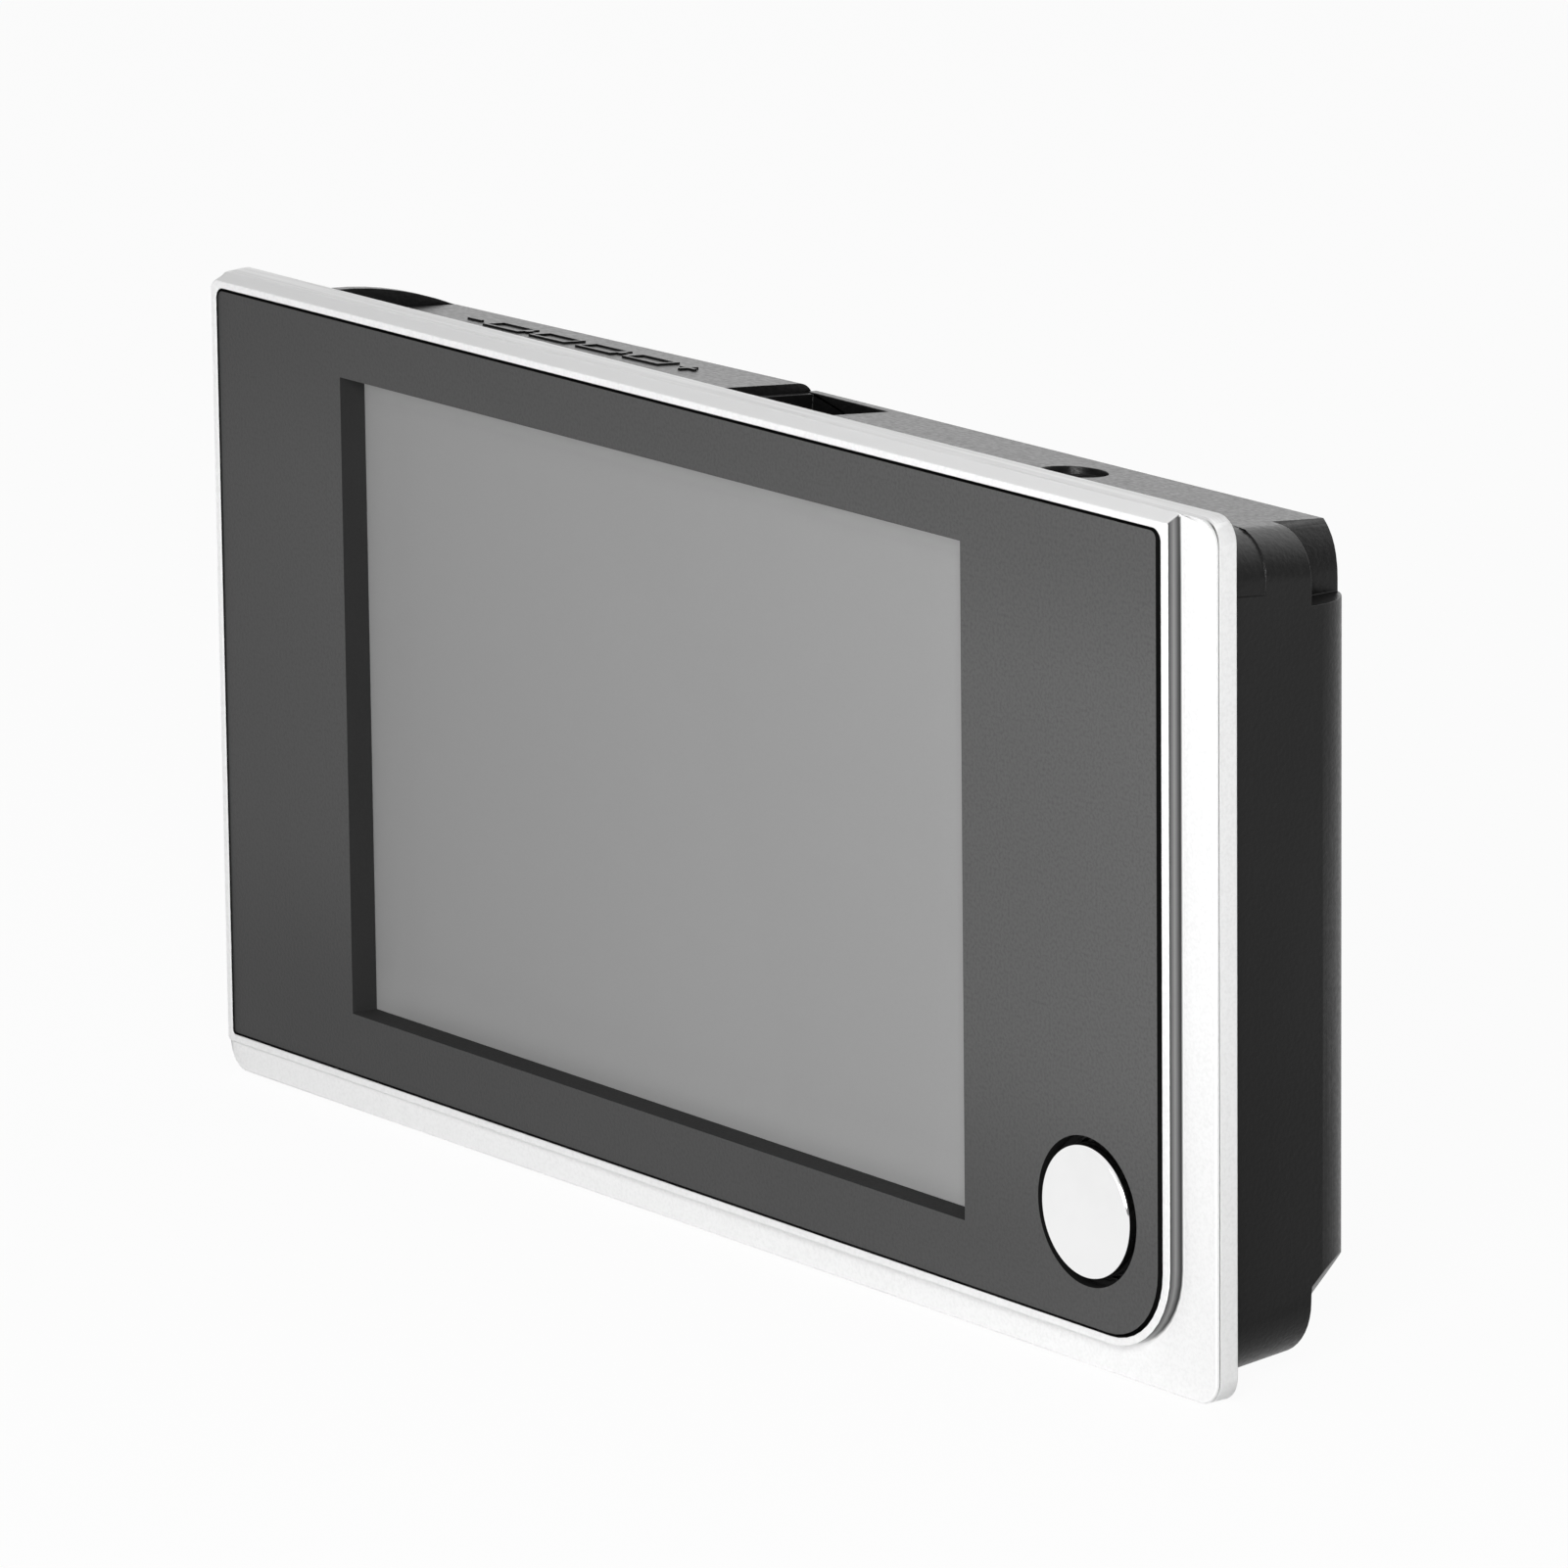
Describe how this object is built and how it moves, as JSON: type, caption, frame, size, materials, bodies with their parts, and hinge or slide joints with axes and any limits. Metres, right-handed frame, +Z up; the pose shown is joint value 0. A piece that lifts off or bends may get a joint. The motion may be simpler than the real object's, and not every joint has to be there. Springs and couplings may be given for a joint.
{
  "type": "peephole door camera indoor screen unit",
  "caption": "Indoor screen unit of a digital door viewer: silver frame, dark panel, recessed screen, round push button, black rear housing with battery lid.",
  "frame": {"origin": "centre of the flat rear face that lies against the door bracket", "axes": "+Z up, +Y out of the rear face towards the door, +X to the right as seen by someone facing the screen"},
  "size_m": [0.1246, 0.0169, 0.0666],
  "materials": {
    "frame_silver": "satin silver paint on moulded frame",
    "panel_dark": "matt dark grey",
    "tape_black": "foam tape",
    "gasket_black": "matt foam",
    "screen_grey": "matt polariser",
    "tray_metal": "pressed sheet",
    "flex_amber": "polyimide film",
    "film_cream": "thin film",
    "board_green": "solder mask",
    "connector_ivory": "moulded",
    "chip_black": "epoxy",
    "coil_grey": "ferrite",
    "can_metal": "can",
    "socket_black": "moulded",
    "switch_black": "moulded",
    "plunger_tan": "moulded",
    "button_chrome": "bright plated",
    "housing_black": "fine moulded grain",
    "cell_jacket": "printed jacket",
    "contact_nickel": "nickel plate",
    "wire_red": "insulated wire",
    "wire_black": "insulated wire",
    "screw_steel": "zinc plate"
  },
  "bodies": {
    "case": {"front_bezel": "frame_silver", "face_panel": "panel_dark", "panel_tape": "tape_black", "screen_gasket": "gasket_black", "lcd_glass": "screen_grey", "lcd_tray": "tray_metal", "lcd_flex": "flex_amber", "insulation_sheet": "film_cream", "main_board": "board_green", "display_connector": "connector_ivory", "video_processor": "chip_black", "memory_chip": "chip_black", "power_coil": "coil_grey", "capacitors": "can_metal", "clock_crystal": "can_metal", "lead_socket": "connector_ivory", "power_socket": "socket_black", "button_switch": "switch_black", "rear_housing": "housing_black", "battery_cells": "cell_jacket", "base_contacts": "contact_nickel", "base_springs": "contact_nickel", "lead_positive": "wire_red", "lead_negative": "wire_black", "case_screws": "screw_steel", "board_screws": "screw_steel"},
    "button": {"view_button": "button_chrome"},
    "plunger": {"switch_plunger": "plunger_tan"},
    "lid": {"battery_lid": "housing_black", "lid_contacts": "contact_nickel", "lid_springs": "contact_nickel"}
  },
  "joints": [
    {"name": "button_press", "type": "slide", "parent": "case", "child": "button", "axis": [0, 1, 0], "range_m": [0, 0.0004], "stiffness_N_per_m": 1500, "springref_m": -0.0003},
    {"name": "plunger_press", "type": "slide", "parent": "case", "child": "plunger", "axis": [0, 1, 0], "range_m": [0, 0.0004]},
    {"name": "lid_turn", "type": "hinge", "parent": "case", "child": "lid", "pos_m": [-0.04845, -0.01274, 0.03115], "axis": [0, -0.9962, 0.0872], "range_deg": [0, 75]}
  ],
  "couplings": [
    {"joint": "plunger_press", "follows": "button_press", "ratio": 1}
  ]
}
